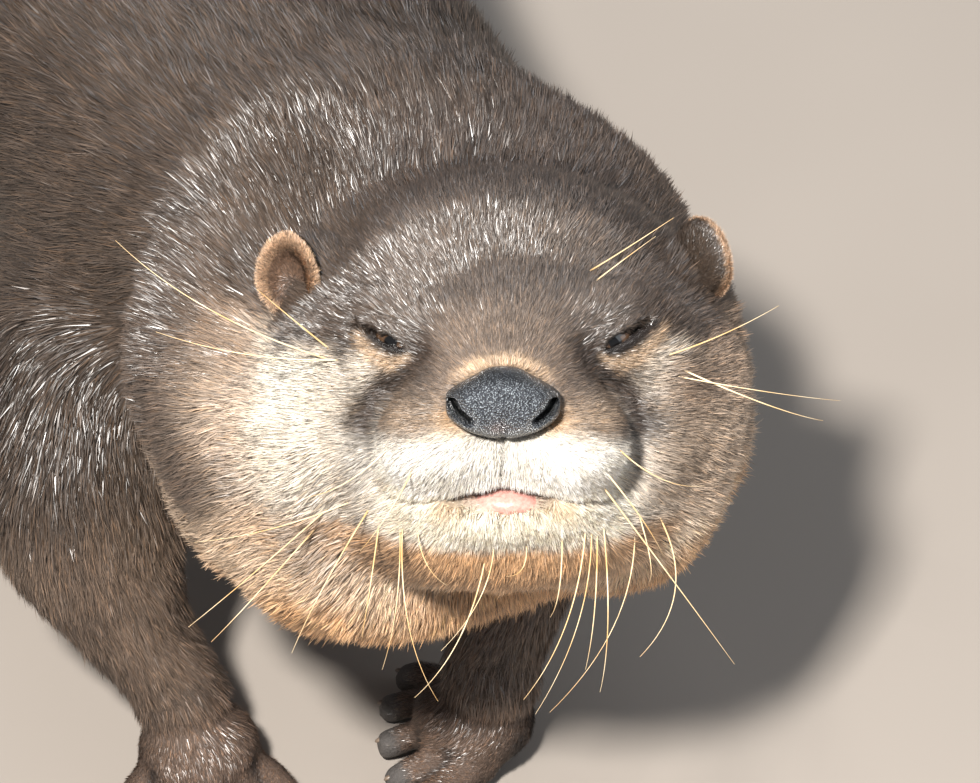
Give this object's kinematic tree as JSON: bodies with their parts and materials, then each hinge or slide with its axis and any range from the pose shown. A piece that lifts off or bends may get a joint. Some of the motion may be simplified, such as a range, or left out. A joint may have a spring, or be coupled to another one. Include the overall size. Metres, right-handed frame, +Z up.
{
  "type": "small-clawed otter",
  "caption": "Life-size still model of a small-clawed otter standing on its feet, face raised and turned to its right, tail resting on the floor; for display and scenes.",
  "frame": {"origin": "middle of the model's bounding box, on the floor under its soles", "axes": "+X to the animal's left, +Y from its head to its tail, +Z up"},
  "size_m": [0.1404, 0.6504, 0.158],
  "materials": {
    "coat": "matte",
    "pale_coat": "matte",
    "foot_coat": "matte",
    "nose_skin": "satin",
    "eye": "gloss"
  },
  "bodies": {
    "root": {"head": "coat", "lower_jaw": "pale_coat", "nose": "nose_skin", "eye_l": "eye", "eye_r": "eye", "ear_l": "coat", "ear_r": "coat", "neck": "coat", "trunk": "coat", "tail_base": "coat", "tail_middle": "coat", "tail_tip": "coat", "upper_arm_r": "coat", "forearm_r": "coat", "fore_paw_r": "foot_coat", "upper_arm_l": "coat", "forearm_l": "coat", "fore_paw_l": "foot_coat", "thigh_r": "coat", "shank_r": "coat", "hind_foot_r": "foot_coat", "thigh_l": "coat", "shank_l": "coat", "hind_foot_l": "foot_coat"}
  },
  "joints": []
}
